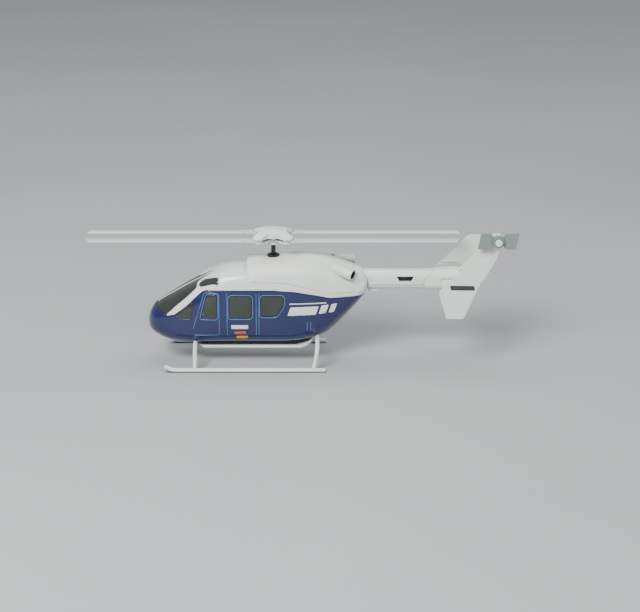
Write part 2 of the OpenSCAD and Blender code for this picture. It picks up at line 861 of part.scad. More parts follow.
// a shallow dome whose four lobes cover the blade hinges
module hub_cap() {
  color([0.92, 0.94, 0.92])
    at_mast()
      difference() {
        intersection() {
          union() {
            translate([0, 0, cap_z]) cylinder(h = 10, r = cap_r - 2.4);
            for (a = [45 : 90 : 315])
              rotate([0, 0, a]) {
                translate([0, -3.2, cap_z]) cube([arm * sqrt(2), 6.4, 10]);
                translate([arm * sqrt(2), 0, cap_z]) cylinder(h = 10, d = 6.4);
              }
          }
          translate([0, 0, cap_top_z - dome_r]) sphere(dome_r, $fn = 96);
          translate([0, 0, cap_z]) cylinder(h = 20, r = cap_r + 5);
        }
        pin_places() translate([0, 0, cap_z - eps]) cylinder(h = 1.2, d = blade_pin_d);
      }
}

module blade_pins() {
  color([0.55, 0.57, 0.58])
    at_mast()
      pin_places() {
        translate([0, 0, hub_z - 0.5]) cylinder(h = 0.5, d = 3);
        translate([0, 0, hub_z - eps]) cylinder(h = cap_z + 1 - hub_z, d = blade_pin_d);
      }
}

blade_t = 1.2;
blade_len = rotor_r - arm;
tongue_len = 9;

// aft starboard blade, hinge on the origin, running along +X
module blade() {
  difference() {
    union() {
      cylinder(h = blade_root_t, d = 4.8);
      translate([0, -2.1, 0]) cube([tongue_len + 1, 4.2, blade_root_t]);
      translate([tongue_len, 0, blade_root_t / 2])
        rotate([90, 0, 90])
          linear_extrude(blade_len - tongue_len)
            polygon([[-blade_chord / 2, -0.1], [-blade_chord / 2 + 0.8, -blade_t / 2],
              [blade_chord / 2 - 2, -blade_t / 2], [blade_chord / 2, -0.1],
              [blade_chord / 2, 0.15], [blade_chord / 2 - 2, blade_t / 2],
              [-blade_chord / 2 + 1.4, blade_t / 2], [-blade_chord / 2, 0.25]]);
    }
    translate([0, 0, -1]) cylinder(h = 5, d = blade_pin_d + 2 * run_fit);
    translate([blade_len, -blade_chord / 2 - 1, -1]) rotate([0, 0, 18]) cube([5, 12, 5]);
  }
}

module blade_at(sx, sy) {
  at_mast()
    translate([sx * arm, sy * arm, blade_z])
      mirror([sx < 0 ? 1 : 0, 0, 0])
        mirror([0, sy < 0 ? 1 : 0, 0]) blade();
}

module blade_fore_port() {
  color([0.62, 0.67, 0.66]) blade_at(-1, -1);
}

module blade_aft_port() {
  color([0.62, 0.67, 0.66]) blade_at(1, -1);
}

module blade_fore_starboard() {
  color([0.62, 0.67, 0.66]) blade_at(-1, 1);
}

module blade_aft_starboard() {
  color([0.62, 0.67, 0.66]) blade_at(1, 1);
}

pin_d = 2;
tail_y = -4.1;                  // inner face of the tail rotor's hub
tail_hub_t = 2.8;
tail_hub_d = 6.4;
tail_t = 0.9;

module tail_rotor_pin() {
  color([0.90, 0.92, 0.90])
    at_mast()
      translate([fin_x, 0, fin_z])
        rotate([90, 0, 0]) {
          translate([0, 0, -fin_t / 2 - 1]) cylinder(h = 10.4, d = pin_d);
          translate([0, 0, -tail_y + tail_hub_t + 0.3]) cylinder(h = 1.2, d = 3.9);
        }
}

module tail_rotor() {
  color([0.60, 0.65, 0.64])
    at_mast()
      translate([fin_x, tail_y, fin_z])
        rotate([90, 0, 0])
          difference() {
            union() {
              cylinder(h = tail_hub_t, d = tail_hub_d);
              for (a = [0, 180])
                rotate([0, 0, a])
                  translate([0, 0, 0.5])
                    linear_extrude(tail_t)
                      polygon([[0, -2], [2.6, -2.2], [4.2, -tail_chord / 2],
                        [tail_r - 1.6, -tail_chord / 2], [tail_r, tail_chord / 2 - 0.5],
                        [tail_r - 0.4, tail_chord / 2], [4.2, tail_chord / 2], [2.6, 2.2],
                        [0, 2]]);
            }
            translate([0, 0, -1]) cylinder(h = 5, d = pin_d + 2 * run_fit);
          }
}

cabin_shell();
cabin_roof();
base_plate();
base_screws();
windscreen();
side_glazing_port();
side_glazing_starboard();
eyebrow_windows();
engine_cowl();
exhaust_port();
exhaust_starboard();
cabin_floor();
seat_port();
seat_starboard();
rear_bench();
instrument_panel();
tail_boom();
centre_fin();
stabiliser();
endplate_port();
endplate_starboard();
cross_tube_front();
cross_tube_rear();
skid_port();
skid_starboard();
mast_bush();
mast();
hub_plate();
hub_cap();
blade_pins();
blade_fore_port();
blade_aft_port();
blade_fore_starboard();
blade_aft_starboard();
tail_rotor_pin();
tail_rotor();
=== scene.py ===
"""Looks of a toy helicopter: smooth painted castings, glazing, printed bands and moulded plastics.

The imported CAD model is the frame. Lengths are in millimetres until a mesh is made, and x is then
measured from the mast, as in the part's own source.
"""

import math

import bmesh
import bpy
import numpy as np
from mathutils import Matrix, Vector
from mathutils.geometry import delaunay_2d_cdt
from mathutils.kdtree import KDTree


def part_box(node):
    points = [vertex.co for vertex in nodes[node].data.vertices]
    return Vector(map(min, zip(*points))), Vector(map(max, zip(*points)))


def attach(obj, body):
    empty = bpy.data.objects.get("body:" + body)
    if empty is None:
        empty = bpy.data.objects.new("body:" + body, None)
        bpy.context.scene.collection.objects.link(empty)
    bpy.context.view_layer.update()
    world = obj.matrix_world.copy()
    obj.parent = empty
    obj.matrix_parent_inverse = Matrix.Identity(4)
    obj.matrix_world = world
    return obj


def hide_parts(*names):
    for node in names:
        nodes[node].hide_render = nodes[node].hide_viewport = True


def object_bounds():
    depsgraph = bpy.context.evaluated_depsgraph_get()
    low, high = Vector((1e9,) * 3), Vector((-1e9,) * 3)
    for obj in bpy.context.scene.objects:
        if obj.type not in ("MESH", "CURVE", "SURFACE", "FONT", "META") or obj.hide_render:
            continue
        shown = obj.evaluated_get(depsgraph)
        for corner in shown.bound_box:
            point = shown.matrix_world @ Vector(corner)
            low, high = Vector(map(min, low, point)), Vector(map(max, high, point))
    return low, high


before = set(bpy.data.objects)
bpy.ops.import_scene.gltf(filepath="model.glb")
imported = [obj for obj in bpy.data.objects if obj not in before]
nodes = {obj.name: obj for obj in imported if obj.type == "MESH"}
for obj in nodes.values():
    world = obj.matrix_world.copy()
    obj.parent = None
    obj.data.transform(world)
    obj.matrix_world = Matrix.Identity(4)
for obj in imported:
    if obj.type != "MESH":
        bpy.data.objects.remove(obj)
cad_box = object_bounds()

MM = 0.001
BODY = "airframe"
mast_low, mast_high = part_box("mast")
MAST_X = ((mast_low + mast_high) / 2).x / MM


# ---------------------------------------------------------------- materials


def linear(red, green, blue):
    """A colour given as it looks on a screen, 0 to 255, as the shader wants it."""
    shares = [c / 255 for c in (red, green, blue)]
    return tuple(((s + 0.055) / 1.055) ** 2.4 if s > 0.04 else s / 12.92 for s in shares) + (1,)


class Finish:
    """A material with its nodes at hand: colour, roughness and bump each vary over the surface."""

    # Painted shade: ambient occlusion darkens the base colour in crevices, hollows and seams between parts.
    SHELTERED, OPEN = 0.35, 0.9     # shares of open sky at which a spot is darkest, and no longer dimmed
    CREVICE, REACH = 0.35, 2.2      # how dark a crevice gets, and how far off its walls count, in millimetres

    def __init__(self, name):
        self.material = bpy.data.materials.new(name)
        self.material.use_nodes = True
        self.tree = self.material.node_tree
        self.shader = self.tree.nodes["Principled BSDF"]
        self.place = self.add("ShaderNodeTexCoord").outputs["Object"]

    def add(self, kind, **settings):
        node = self.tree.nodes.new(kind)
        for key, value in settings.items():
            setattr(node, key, value)
        return node

    def link(self, a, b):
        self.tree.links.new(a, b)

    def set(self, **values):
        for key, value in values.items():
            self.shader.inputs[key.replace("_", " ")].default_value = value

    def noise(self, size_mm, detail=3.0, stretch=(1, 1, 1)):
        """Noise whose lumps are about size_mm across, stretched along an axis by a factor."""
        mapping = self.add("ShaderNodeMapping")
        mapping.inputs["Scale"].default_value = [1 / s for s in stretch]
        self.link(self.place, mapping.inputs["Vector"])
        node = self.add("ShaderNodeTexNoise")
        node.inputs["Scale"].default_value = 1 / (size_mm * MM)
        node.inputs["Detail"].default_value = detail
        self.link(mapping.outputs["Vector"], node.inputs["Vector"])
        return node.outputs["Fac"]

    def ramp(self, value, low, high, start=0.0, end=1.0):
        """value from low to high, turned into start to end and held there outside."""
        node = self.add("ShaderNodeMapRange")
        node.clamp = True
        for key, number in zip(("From Min", "From Max", "To Min", "To Max"), (low, high, start, end)):
            node.inputs[key].default_value = number
        self.link(value, node.inputs["Value"])
        return node.outputs["Result"]

    def blend(self, factor, a, b):
        """Colour a where factor is 0 and b where it is 1; each is a colour or an output."""
        node = self.add("ShaderNodeMix", data_type="RGBA")
        self.link(factor, node.inputs["Factor"])
        for key, value in (("A", a), ("B", b)):
            socket = [s for s in node.inputs if s.name == key and s.type == "RGBA"][0]
            if isinstance(value, tuple):
                socket.default_value = value
            else:
                self.link(value, socket)
        return [s for s in node.outputs if s.type == "RGBA"][0]

    def colour(self, output, crevice=CREVICE, reach=REACH):
        """The base colour with painted shade: darker in crevices, hollows and seams between parts, where shade
        falls.
        """
        # painted shade: the colour is scaled down where ambient occlusion finds nearby walls
        shelter = self.add("ShaderNodeAmbientOcclusion", samples=8)
        shelter.inputs["Distance"].default_value = reach * MM
        open_sky = self.ramp(shelter.outputs["AO"], self.SHELTERED, self.OPEN, crevice, 1.0)
        dimmed = self.add("ShaderNodeVectorMath", operation="SCALE")
        self.link(output, dimmed.inputs[0])
        self.link(open_sky, dimmed.inputs["Scale"])
        self.link(dimmed.outputs["Vector"], self.shader.inputs["Base Color"])

    def roughness(self, output):
        self.link(output, self.shader.inputs["Roughness"])

    def bump(self, *layers):
        """Each layer is a height output and its depth in millimetres."""
        normal = None
        for height, depth in layers:
            node = self.add("ShaderNodeBump")
            node.inputs["Distance"].default_value = depth * MM
            self.link(height, node.inputs["Height"])
            if normal is not None:
                self.link(normal, node.inputs["Normal"])
            normal = node.outputs["Normal"]
        self.link(normal, self.shader.inputs["Normal"])


def paint(name, colour, shade, rough, coat):
    """Sprayed enamel on a casting: a clear skin, faint orange peel, soft cloudy shade and handling marks."""
    f = Finish(name)
    clouds = f.ramp(f.noise(16), 0.35, 0.7)
    f.colour(f.blend(clouds, linear(*colour), linear(*shade)))
    marks = f.ramp(f.noise(2.2, 6, (6, 1, 1)), 0.56, 0.72)
    f.roughness(f.ramp(marks, 0, 1, rough, rough + 0.16))
    f.set(Coat_Weight=coat, Coat_Roughness=0.08, IOR=1.5)
    f.bump((f.noise(1.1, 2), 0.012), (f.noise(9, 2), 0.05))
    return f.material


def moulded(name, colour, shade, rough, grain=0.6, metal=0.0, crevice=Finish.CREVICE, reach=Finish.REACH):
    """Moulded plastic, or bare metal: fine spark grain, flow marks, a few scuffs and painted shade in its
    crevices.
    """
    f = Finish(name)
    flow = f.ramp(f.noise(12, 3, (4, 1, 1)), 0.35, 0.7)
    f.colour(f.blend(flow, linear(*colour), linear(*shade)), crevice, reach)
    scuffs = f.ramp(f.noise(1.6, 7, (5, 1, 1)), 0.58, 0.74)
    f.roughness(f.ramp(scuffs, 0, 1, rough, rough + 0.18))
    f.set(Metallic=metal, IOR=1.47)
    f.bump((f.noise(grain, 2), 0.012), (f.noise(6, 2), 0.03))
    return f.material


def smoked_glass(name):
    """Smoke-tinted clear plastic with a slight ripple and faint rub marks."""
    f = Finish(name)
    tint = f.ramp(f.noise(14), 0.3, 0.75)
    f.colour(f.blend(tint, linear(112, 124, 114), linear(94, 106, 98)))
    rubs = f.ramp(f.noise(3, 6, (4, 1, 1)), 0.55, 0.75)
    f.roughness(f.ramp(rubs, 0, 1, 0.06, 0.17))
    f.set(Transmission_Weight=0.8, IOR=1.46, Coat_Weight=0.3, Coat_Roughness=0.05)
    f.bump((f.noise(5, 1), 0.03))
    return f.material


def printed(name, colour, shade):
    """Pad-printed ink: flatter than the paint, with slightly thin patches."""
    f = Finish(name)
    thin = f.ramp(f.noise(1.2, 5), 0.5, 0.75)
    f.colour(f.blend(thin, linear(*colour), linear(*shade)))
    f.roughness(f.ramp(f.noise(2.5, 4), 0.3, 0.7, 0.34, 0.5))
    f.set(IOR=1.45)
    f.bump((f.noise(0.5, 2), 0.006))
    return f.material


LOOKS = {
    "blue_paint": paint("blue_enamel", (15, 28, 84), (12, 23, 72), 0.2, 0.6),
    "white_paint": paint("white_enamel", (226, 234, 228), (216, 225, 219), 0.28, 0.45),
    "white_plastic": moulded("white_moulding", (232, 238, 232), (222, 229, 223), 0.38),
    "glazing": smoked_glass("smoked_clear"),
    "dark_plastic": moulded("black_moulding", (34, 37, 40), (27, 29, 32), 0.5),
    "interior_plastic": moulded("grey_moulding", (96, 100, 102), (84, 88, 90), 0.55),
    "dark_metal": moulded("blackened_metal", (70, 72, 76), (56, 58, 62), 0.34, 0.4, 0.9),
    "steel": moulded("bright_steel", (176, 180, 184), (150, 154, 160), 0.24, 0.4, 1.0),
    "rotor_plastic": moulded("grey_green_moulding", (206, 216, 209), (194, 205, 198), 0.4, 0.5),
    "tail_plastic": moulded("dark_grey_green_moulding", (134, 147, 141), (120, 133, 127), 0.36, 0.5),
    # painted shade: white moulding that goes nearly black in hollows such as the boom's slot and the exhaust
    # bores, over up to 7 mm from their walls
    "hollow_plastic_shaded": moulded("white_moulding_with_painted_shade_in_hollows", (230, 236, 230), (220, 227, 221), 0.38,
                              crevice=0.04, reach=7.0),
}
# Raised frame and panel lines in light blue: the beads are real lines, and their light tone is partly a
# painted highlight for the light these edges catch.
FRAME_LINE_HIGHLIGHT = paint("light_blue_enamel_painted_highlight", (86, 132, 176), (70, 112, 158), 0.3, 0.3)
INK_WHITE = printed("white_print", (226, 232, 232), (196, 206, 214))
INK_ORANGE = printed("orange_print", (214, 96, 44), (190, 80, 40))
INK_AMBER = printed("amber_print", (224, 166, 52), (206, 148, 44))
INK_DARK = printed("dark_grey_print", (52, 58, 60), (66, 72, 74))


# ---------------------------------------------------------------- skins


def gentle_slopes(run, values):
    """Slopes of a smooth curve through the values that never overshoots them."""
    gap = np.diff(run)[:, None]
    rise = np.diff(values, axis=0) / gap
    before, after = rise[:-1], rise[1:]
    same_way = before * after > 0
    w_before, w_after = 2 * gap[1:] + gap[:-1], gap[1:] + 2 * gap[:-1]
    safe_before = np.where(same_way, before, 1)
    safe_after = np.where(same_way, after, 1)
    slopes = np.zeros_like(values)
    mean = (w_before + w_after) / (w_before / safe_before + w_after / safe_after)
    slopes[1:-1] = np.where(same_way, mean, 0)
    slopes[0], slopes[-1] = rise[0], rise[-1]
    return slopes


class Skin:
    """A lofted skin. A place on its port half is (run, down).

    run is how far along the skin it is from the front, and down how far round it is from the ridge.
    Each station is [x, bottom, widest height, top, half width, power above, power below].
    """

    STEP = 0.25             # between two rows of the table
    COLUMNS = 181           # from the ridge to the keel in each row
    ANGLES = 361            # at which a section is worked out, before its points are spaced evenly
    LAST_CELL = 1.000001    # keeps a look-up just inside the table's last row or column

    def __init__(self, stations):
        values = np.array(stations, float)
        radius = values[:, 4] / 2 + (values[:, 3] - values[:, 1]) / 4
        legs = np.hypot(np.diff(values[:, 0]), np.diff(radius))
        station_run = np.concatenate([[0], np.cumsum(legs)])
        slopes = gentle_slopes(station_run, values)
        count = int(station_run[-1] / self.STEP)
        self.runs = np.linspace(0, station_run[-1], count)
        rows = [self.section(*self.values_at(r, station_run, values, slopes)) for r in self.runs]
        self.girth = np.array([r[1] for r in rows])
        self.points = np.array([r[0] for r in rows])
        self.x = self.points[:, 0, 0]
        along = np.gradient(self.points, axis=0)
        across = np.gradient(self.points, axis=1)
        normals = np.cross(across, along)
        length = np.linalg.norm(normals, axis=2, keepdims=True)
        self.normals = np.where(length > 1e-9, normals / np.maximum(length, 1e-9), (-1.0, 0.0, 0.0))

    @staticmethod
    def values_at(run, station_run, values, slopes):
        i = min(max(np.searchsorted(station_run, run) - 1, 0), len(station_run) - 2)
        gap = station_run[i + 1] - station_run[i]
        t = (run - station_run[i]) / gap
        ease = t * t * (3 - 2 * t)
        start, end = t * (1 - t) ** 2, t * t * (t - 1)
        return values[i] * (1 - ease) + values[i + 1] * ease + gap * (slopes[i] * start + slopes[i + 1] * end)

    def section(self, x, bottom, widest, top, half, power_above, power_below):
        """The port half of one section as evenly spaced points, and its length."""
        angle = np.radians(np.linspace(90, -90, self.ANGLES))
        c, s = np.abs(np.cos(angle)), np.sin(angle)
        power = np.where(s >= 0, power_above, power_below)
        height = np.where(s >= 0, top - widest, widest - bottom)
        reach = (c ** power + np.abs(s) ** power) ** (-1 / power)
        y, z = -half * reach * c, widest + height * reach * s
        length = np.concatenate([[0], np.cumsum(np.hypot(np.diff(y), np.diff(z)))])
        even = np.linspace(0, length[-1], self.COLUMNS)
        y, z = np.interp(even, length, y), np.interp(even, length, z)
        y[0] = y[-1] = 0
        return np.stack([np.full(self.COLUMNS, x), y, z], axis=1), length[-1]

    def look_up(self, table, places):
        places = np.asarray(places, float).reshape(-1, 2)
        last = len(self.runs) - 1
        row = np.clip(places[:, 0] / self.runs[-1] * last, 0, len(self.runs) - self.LAST_CELL)
        girth = np.maximum(np.interp(places[:, 0], self.runs, self.girth), 1e-6)
        column = np.clip(places[:, 1] / girth, 0, 1) * (self.COLUMNS - self.LAST_CELL)
        i, j = row.astype(int), column.astype(int)
        u, v = (row - i)[:, None], (column - j)[:, None]
        near = table[i, j] * (1 - v) + table[i, j + 1] * v
        far = table[i + 1, j] * (1 - v) + table[i + 1, j + 1] * v
        return near * (1 - u) + far * u

    def at(self, places):
        """Points and outward normals at places, in millimetres."""
        normals = self.look_up(self.normals, places)
        return self.look_up(self.points, places), normals / np.linalg.norm(normals, axis=1, keepdims=True)

    def run_at(self, x):
        return float(np.interp(x, self.x, self.runs))

    def girth_at(self, run):
        return float(np.interp(run, self.runs, self.girth))

    def row_at(self, run):
        """The section's points at a run, and how far down each is."""
        girth = self.girth_at(run)
        down = np.linspace(0, girth, self.COLUMNS)
        places = np.stack([np.full(self.COLUMNS, run), down], axis=1)
        return self.look_up(self.points, places), down

    def from_side(self, x, z):
        """The place seen at x, z from the port side."""
        run = self.run_at(x)
        row, down = self.row_at(run)
        return run, float(np.interp(-z, -row[:, 2], down))

    def from_above(self, x, y):
        """The place on the upper half at x, y in plan."""
        run = self.run_at(x)
        row, down = self.row_at(run)
        widest = int(np.argmin(row[:, 1]))
        return run, float(np.interp(-y, -row[: widest + 1, 1], down[: widest + 1]))

    def from_below(self, x, y):
        """The place on the lower half at x, y in plan."""
        run = self.run_at(x)
        row, down = self.row_at(run)
        widest = int(np.argmin(row[:, 1]))
        return run, float(np.interp(y, row[widest:, 1], down[widest:]))


def rounded(outline, radius, closed=True, steps=4):
    """The outline with each corner turned into a short arc."""
    points = [np.array(p, float) for p in outline]
    count = len(points)
    made = []
    for i, p in enumerate(points):
        if not closed and i in (0, count - 1):
            made.append(tuple(p))
            continue
        before, after = points[i - 1], points[(i + 1) % count]
        cut = min(radius, np.linalg.norm(before - p) * 0.45, np.linalg.norm(after - p) * 0.45)
        a = p + (before - p) / np.linalg.norm(before - p) * cut
        b = p + (after - p) / np.linalg.norm(after - p) * cut
        for k in range(steps + 1):
            t = k / steps
            made.append(tuple(a * (1 - t) ** 2 + p * 2 * t * (1 - t) + b * t * t))
    return made


def divided(outline, step, closed=True):
    """The outline with points added, so that none are further apart than step."""
    ends = list(outline) + [outline[0]] if closed else list(outline)
    made = []
    for a, b in zip(ends, ends[1:]):
        a, b = np.array(a, float), np.array(b, float)
        count = max(1, math.ceil(np.linalg.norm(b - a) / step))
        made += [tuple(a + (b - a) * k / count) for k in range(count)]
    return made if closed else made + [tuple(ends[-1])]


LINE_STEP = 0.7         # between two points of a drawn line
GRID = 1.0              # between two points of the open surface
GRID_CLEAR = 0.55       # no open point is nearer to a line than this
END_POINTS = 40         # across the open front or back of a skin
SAME_POINT = 1e-5       # points nearer than this are one
ON_CENTRE = 1e-4        # a place this near to the ridge or keel is on it


def drawn(place, outline, radius=0.0, closed=True):
    """A line on a skin: place turns each point of the outline into (run, down)."""
    points = rounded(outline, radius, closed) if radius else outline
    return [place(*p) for p in divided(points, LINE_STEP, closed)], closed


def inside(outline, u, v):
    """Which of the points u, v lie inside a closed outline."""
    result = np.zeros(len(u), bool)
    for (u0, v0), (u1, v1) in zip(outline, outline[1:] + outline[:1]):
        crosses = (v0 > v) != (v1 > v)
        with np.errstate(divide="ignore", invalid="ignore"):
            result ^= crosses & (u < (u1 - u0) * (v - v0) / (v1 - v0) + u0)
    return result


def border(skin, run0, run1):
    """The edge of a skin's port half from run0 to run1."""
    runs = np.linspace(run0, run1, max(2, int((run1 - run0) / LINE_STEP)))
    ridge = [(r, 0.0) for r in runs]
    keel = [(r, skin.girth_at(r)) for r in runs[::-1]]
    back = [(run1, d) for d in np.linspace(0, skin.girth_at(run1), END_POINTS)[1:-1]]
    front = [(run0, d) for d in np.linspace(skin.girth_at(run0), 0, END_POINTS)[1:-1]]
    closes_to_a_tip = skin.girth_at(run0) <= 1
    return ridge + back + keel + ([] if closes_to_a_tip else front), True


def cut_up(skin, lines, label, run0=0.0, run1=None):
    """Cuts a skin's port half along lines. Returns its places, and the triangles of each label.

    label gets the triangles' middles as run and down, and returns one number for each.
    """
    run1 = skin.runs[-1] if run1 is None else run1
    places, edges = [], []
    for line, closed in [border(skin, run0, run1)] + lines:
        first = len(places)
        places += line
        edges += [(first + i, first + i + 1) for i in range(len(line) - 1)]
        if closed:
            edges.append((len(places) - 1, first))
    tree = KDTree(len(places))
    for i, p in enumerate(places):
        tree.insert((p[0], p[1], 0), i)
    tree.balance()
    for run in np.arange(run0 + GRID / 2, run1, GRID):
        for down in np.arange(GRID / 2, skin.girth_at(run), GRID):
            if tree.find((run, down, 0))[2] > GRID_CLEAR:
                places.append((run, down))
    result = delaunay_2d_cdt([Vector(p) for p in places], edges, [], 0, SAME_POINT)
    corners = np.array([tuple(p) for p in result[0]])
    triangles = np.array(result[2])
    centres = corners[triangles].mean(axis=1)
    on_skin = centres[:, 1] < np.interp(centres[:, 0], skin.runs, skin.girth)
    triangles, centres = triangles[on_skin], centres[on_skin]
    marks = label(*centres.T)
    return corners, {int(m): triangles[marks == m] for m in np.unique(marks)}


def patch(name, skin, corners, triangles, lift, lip=0.0, sides="both"):
    """A mesh of the triangles, lift above the skin. lip rounds its free edges over by that much."""
    used = np.unique(triangles)
    index = {int(k): i for i, k in enumerate(used)}
    points, normals = skin.at(corners[used])
    girths = np.interp(corners[used, 0], skin.runs, skin.girth)
    centre = (corners[used, 1] < ON_CENTRE) | (corners[used, 1] > girths - ON_CENTRE)
    normals[centre, 1] = 0
    points = points + normals * lift
    points[centre, 1] = 0
    points[:, 0] += MAST_X
    bm = bmesh.new()
    for side in (1, -1):
        if (sides == "port" and side < 0) or (sides == "starboard" and side > 0):
            continue
        verts = [bm.verts.new((p[0] * MM, p[1] * MM * side, p[2] * MM)) for p in points]
        for t in triangles:
            corner = [verts[index[int(k)]] for k in t]
            bm.faces.new(corner[::-1] if side > 0 else corner)
    bmesh.ops.remove_doubles(bm, verts=[v for v in bm.verts if abs(v.co.y) < 1e-9], dist=1e-6)
    bm.normal_update()
    if lip:
        round_edges(bm, lip * MM)
    for face in bm.faces:
        face.smooth = True
    return mesh_object(name, bm)


def mesh_object(name, bm):
    mesh = bpy.data.meshes.new(name)
    bm.to_mesh(mesh)
    bm.free()
    obj = bpy.data.objects.new(name, mesh)
    bpy.context.scene.collection.objects.link(obj)
    return obj


LIP_WIDTHS = 0.7, 0.6       # of the two steps in which an edge turns down, as shares of its depth
LIP_START = 0.3             # how much of the depth the first step takes


def round_edges(bm, lip):
    """Turns the free edges of an open mesh down in two steps, as paint rounds a casting's edge."""
    inner = list(bm.faces)
    for width in LIP_WIDTHS:
        bmesh.ops.inset_region(bm, faces=inner, thickness=lip * width, use_boundary=True,
                               use_even_offset=True)
    outer = {v for e in bm.edges if e.is_boundary for v in e.verts}
    second = {e.other_vert(v) for v in outer for e in v.link_edges} - outer
    bm.normal_update()
    moves = [(v, v.normal * -lip) for v in outer] + [(v, v.normal * -lip * LIP_START) for v in second]
    for v, move in moves:
        v.co += move


def thickened(obj, thickness):
    """Gives an open mesh a wall on its inner side."""
    solid = obj.modifiers.new("thickness", "SOLIDIFY")
    solid.thickness = thickness * MM
    solid.offset = -1
    solid.use_even_offset = False
    weigh_normals(obj)


def weigh_normals(obj):
    weighted = obj.modifiers.new("normals", "WEIGHTED_NORMAL")
    weighted.weight = 60
    weighted.keep_sharp = True


def finished(obj, material, slot, *replaced):
    """Gives a new piece its material, its body and the CAD nodes that it stands for."""
    obj.data.materials.clear()
    obj.data.materials.append(material)
    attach(obj, BODY)
    if replaced:
        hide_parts(*replaced)


def casting(name, skin, cut, mark, slot, node, lift, lip):
    """One of the thick painted or moulded walls: the triangles of a mark on a skin that was cut up."""
    corners, parts = cut
    obj = patch(name, skin, corners, parts[mark], lift, lip)
    thickened(obj, WALL)
    finished(obj, LOOKS[slot], slot, node)


# ---------------------------------------------------------------- cabin

WALL = 1.2
CASTING_LIP = 0.16      # how far a casting's edge turns down
PANE_SINK = 0.2
PANE_T = 0.8
PANE_LIP = 0.1

cabin = Skin([
    [-71.8, 23.1, 23.1, 23.1, 0.0, 2.2, 2.2],
    [-71.5, 21.5, 23.2, 25.0, 1.5, 2.2, 2.2],
    [-71.0, 19.5, 23.4, 27.5, 4.0, 2.2, 2.2],
    [-69.5, 17.4, 23.8, 30.8, 7.4, 2.2, 2.2],
    [-67.0, 15.6, 24.5, 33.8, 10.2, 2.2, 2.2],
    [-63.0, 13.8, 25.5, 36.6, 12.5, 2.4, 2.4],
    [-58.0, 12.7, 26.2, 39.5, 14.2, 2.6, 2.8],
    [-50.0, 12.1, 27.5, 44.2, 15.6, 3.0, 3.0],
    [-41.0, 12.0, 29.0, 49.0, 16.3, 3.5, 3.2],
    [-33.0, 12.0, 30.5, 53.5, 16.5, 4.0, 3.2],
    [-29.0, 12.0, 31.0, 55.6, 16.5, 4.0, 3.2],
    [-24.0, 12.0, 31.5, 56.8, 16.5, 4.0, 3.2],
    [-13.0, 12.0, 32.0, 57.3, 16.5, 4.0, 3.2],
    [5.0, 12.0, 32.0, 57.0, 16.5, 4.0, 3.2],
    [14.0, 12.4, 32.5, 56.0, 16.2, 4.0, 3.1],
    [22.0, 14.0, 33.5, 54.5, 15.5, 3.8, 2.8],
    [30.0, 16.6, 36.0, 53.2, 14.4, 3.4, 2.4],
    [34.0, 19.8, 38.0, 52.7, 13.6, 3.2, 2.3],
    [40.0, 25.8, 41.0, 52.0, 12.3, 3.0, 2.2],
    [45.0, 31.4, 43.4, 51.6, 11.1, 2.8, 2.2],
    [50.0, 37.4, 45.6, 51.0, 9.8, 2.6, 2.2],
    [52.5, 40.8, 46.2, 50.0, 8.2, 2.4, 2.2],
    [53.1, 42.2, 46.4, 49.2, 6.6, 2.4, 2.2],
    [53.3, 44.4, 46.6, 48.0, 3.6, 2.4, 2.2],
])

WAIST = 45.9            # height of the colour line along the doors
POST_FRONT = -66.1      # where the windscreen's centre post starts
pillar_front = [(-60.6, 29.8), (-56.0, 31.0), (-49.4, 36.0), (-45.0, 40.4), (-42.0, 43.3), (-39.6, 45.2)]
colour_line = pillar_front + [(-37.0, WAIST), (0.0, WAIST), (12.0, 45.0), (24.5, 42.6), (32.0, 40.8),
                              (49.3, 40.8), (52.3, 41.2)]
windows = {
    "door": [(-40.8, 29.6), (-37.6, 43.0), (-31.9, 43.0), (-31.9, 29.3)],
    "middle": [(-24.8, 29.6), (-24.8, 42.4), (-12.4, 42.4), (-12.4, 29.6)],
    "rear": [(-6.9, 30.6), (-6.9, 42.4), (5.7, 42.4), (5.7, 36.8), (1.6, 30.6)],
    "nose": [(-55.4, 30.2), (-45.2, 39.2), (-46.4, 28.6), (-53.8, 29.0)],
}
eyebrow_plan = [(-42.2, -9.6), (-41.2, -7.6), (-39.4, -6.8), (-35.2, -10.2), (-31.0, -12.4), (-30.8, -15.0),
                (-38.6, -12.9), (-41.2, -11.8)]
BASE_FRONT, BASE_BACK = -40.4, 22.2     # ends of the gap in the belly that the base plate fills
base_plan = [(BASE_FRONT, -6.9), (-38.4, -8.9), (15.5, -8.9), (15.5, -10.8), (16.0, -10.8),
             (BASE_BACK, -7.8), (BASE_BACK, -1.0)]
BEYOND = 3.0            # how far a zone runs past the ridge, keel or tail, to close beyond the skin

SHELL, ROOF, SCREEN, EYEBROW, SIDE_PANE, HIDDEN = range(6)
above, aside, below = cabin.from_above, cabin.from_side, cabin.from_below


def zone(mark, *pieces, soft=1):
    """A part of the cabin's skin: its mark and its outline.

    The outline is made of pieces, each a view and points in it, and is softened a number of times.
    """
    loop = [view(*p) for view, points in pieces for p in divided(points, LINE_STEP, False)]
    loop = np.array(divided(loop, LINE_STEP))
    for _ in range(soft):
        loop = (np.roll(loop, 1, axis=0) + loop * 2 + np.roll(loop, -1, axis=0)) / 4
    return mark, [tuple(p) for p in loop]


def as_given(run, down):
    return run, down


def past_keel(x):
    run = cabin.run_at(x)
    return as_given, [(run, cabin.girth_at(run) + BEYOND)]


